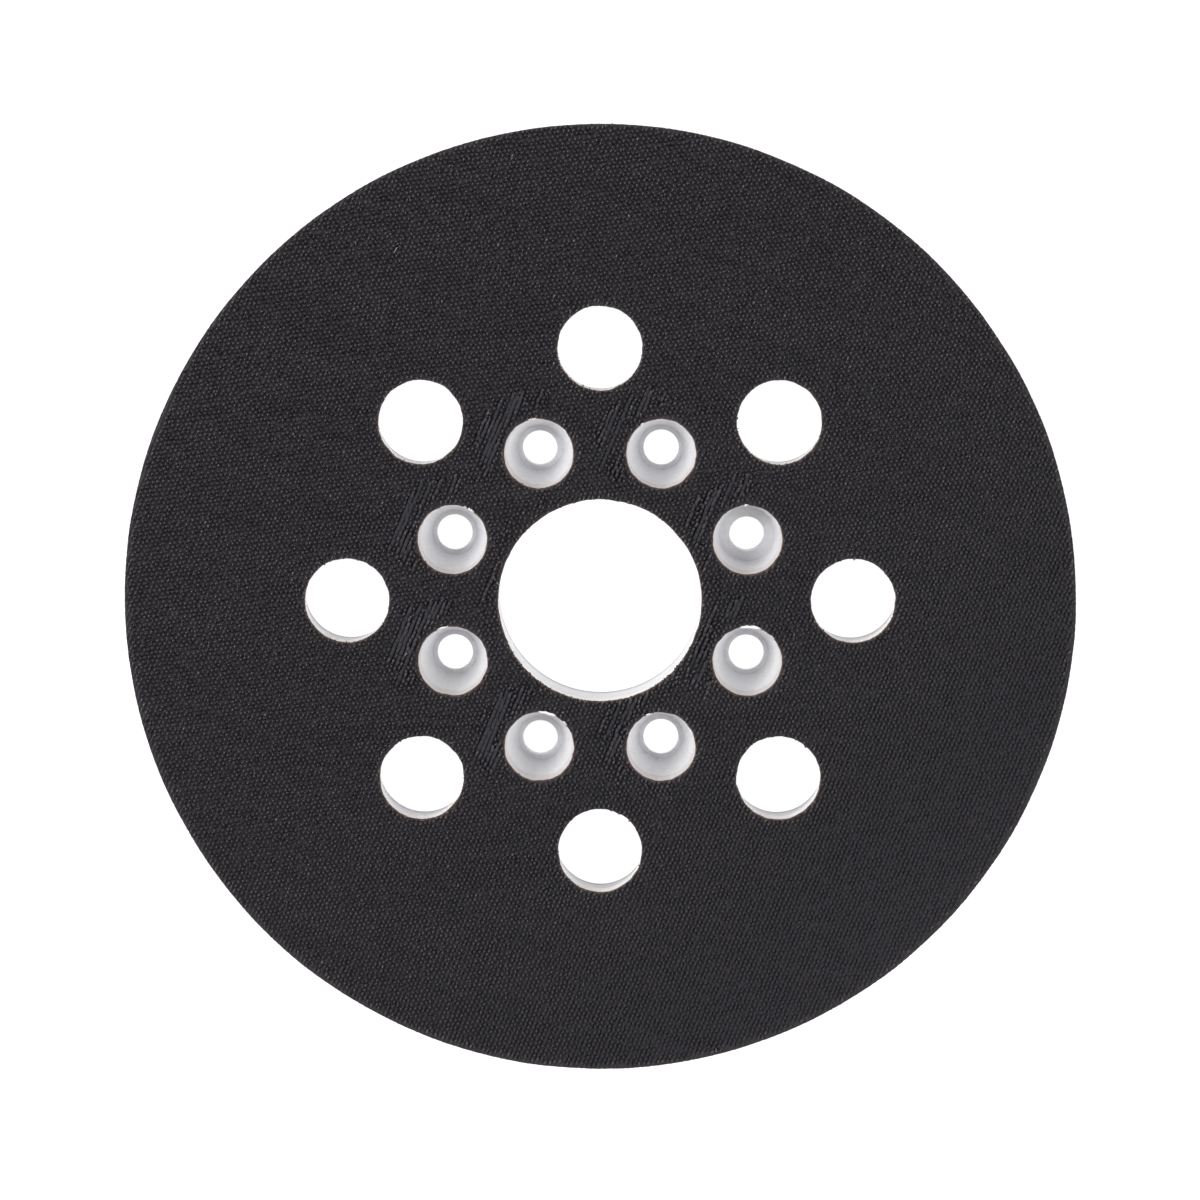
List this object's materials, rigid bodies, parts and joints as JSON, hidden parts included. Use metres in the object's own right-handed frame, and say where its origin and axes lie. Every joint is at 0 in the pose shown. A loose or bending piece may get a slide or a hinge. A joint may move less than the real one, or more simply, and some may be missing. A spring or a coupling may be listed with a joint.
{
  "type": "orbital sander backing pad",
  "caption": "Round hook-faced backing pad for a random orbital sander, with dust holes, screw wells and a foam layer on a moulded plate.",
  "frame": {"origin": "on the axis of rotation, in the plane of the machine face that the pad lies on", "axes": "+Z along the axis of rotation, from the machine face to the hook face; +X and +Y each run through a dust hole"},
  "size_m": [0.1222, 0.1222, 0.012],
  "materials": {
    "grey_nylon": "moulded satin",
    "cream_foam": "fine-celled polyurethane foam, cut edge",
    "bond_adhesive": "dried contact adhesive",
    "hook_nylon": "moulded micro hooks"
  },
  "bodies": {
    "root": {"support_plate": "grey_nylon", "foam_cushion": "cream_foam", "bond_film": "bond_adhesive", "hook_sheet": "hook_nylon"}
  },
  "joints": []
}
